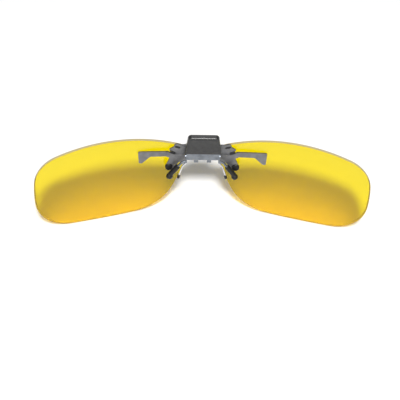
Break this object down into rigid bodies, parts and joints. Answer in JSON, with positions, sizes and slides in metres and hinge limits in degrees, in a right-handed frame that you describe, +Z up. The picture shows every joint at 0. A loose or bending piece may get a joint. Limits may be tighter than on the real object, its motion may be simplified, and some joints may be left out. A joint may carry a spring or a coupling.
{
  "type": "clip-on sunglasses",
  "caption": "Clip-on sunglasses with rimless yellow lenses and a sprung centre clamp that is squeezed open to grip spectacle lenses.",
  "frame": {"origin": "on the surface that the lenses' lower edges stand on, under the centre of the part's box", "axes": "+X to the right seen from the wearer's side, along the width; +Y the way the wearer looks; +Z up"},
  "size_m": [0.1278, 0.0174, 0.0393],
  "materials": {
    "yellow_lens": "clear yellow tinted, polished",
    "brushed_steel": "fine brushed stamping",
    "bright_steel": "smooth, slightly bluish",
    "black_plastic": "moulded, semi-gloss",
    "grip_pad": "fine matte texture",
    "black_rubber": "soft rubber",
    "silver_wire": "bright drawn wire",
    "spring_steel": "drawn spring wire"
  },
  "bodies": {
    "front_frame": {"bridge_plate": "brushed_steel", "front_cover": "black_plastic", "hinge_pin": "bright_steel", "hinge_washers": "bright_steel", "left_front_leg_tip": "black_rubber", "left_lens": "yellow_lens", "left_lens_pad": "black_rubber", "left_support_arm": "brushed_steel", "right_front_leg_tip": "black_rubber", "right_lens": "yellow_lens", "right_lens_pad": "black_rubber", "right_support_arm": "brushed_steel", "torsion_spring": "spring_steel"},
    "rear_jaw": {"rear_jaw_plate": "bright_steel", "rear_cover": "black_plastic", "rear_grip_pad": "grip_pad", "left_rear_leg": "bright_steel", "right_rear_leg": "bright_steel", "left_rear_leg_sleeve": "black_rubber", "right_rear_leg_sleeve": "black_rubber", "left_nose_wire": "silver_wire", "right_nose_wire": "silver_wire", "left_nose_wire_tip": "black_rubber", "right_nose_wire_tip": "black_rubber", "spring_rear_leg": "spring_steel"}
  },
  "joints": [
    {"name": "clamp_squeeze", "type": "hinge", "parent": "front_frame", "child": "rear_jaw", "pos_m": [0, 0.00404, 0.02808], "axis": [-1, 0, 0], "range_deg": [0, 24], "stiffness_Nm_per_rad": 0.012, "springref_deg": -51.57}
  ]
}
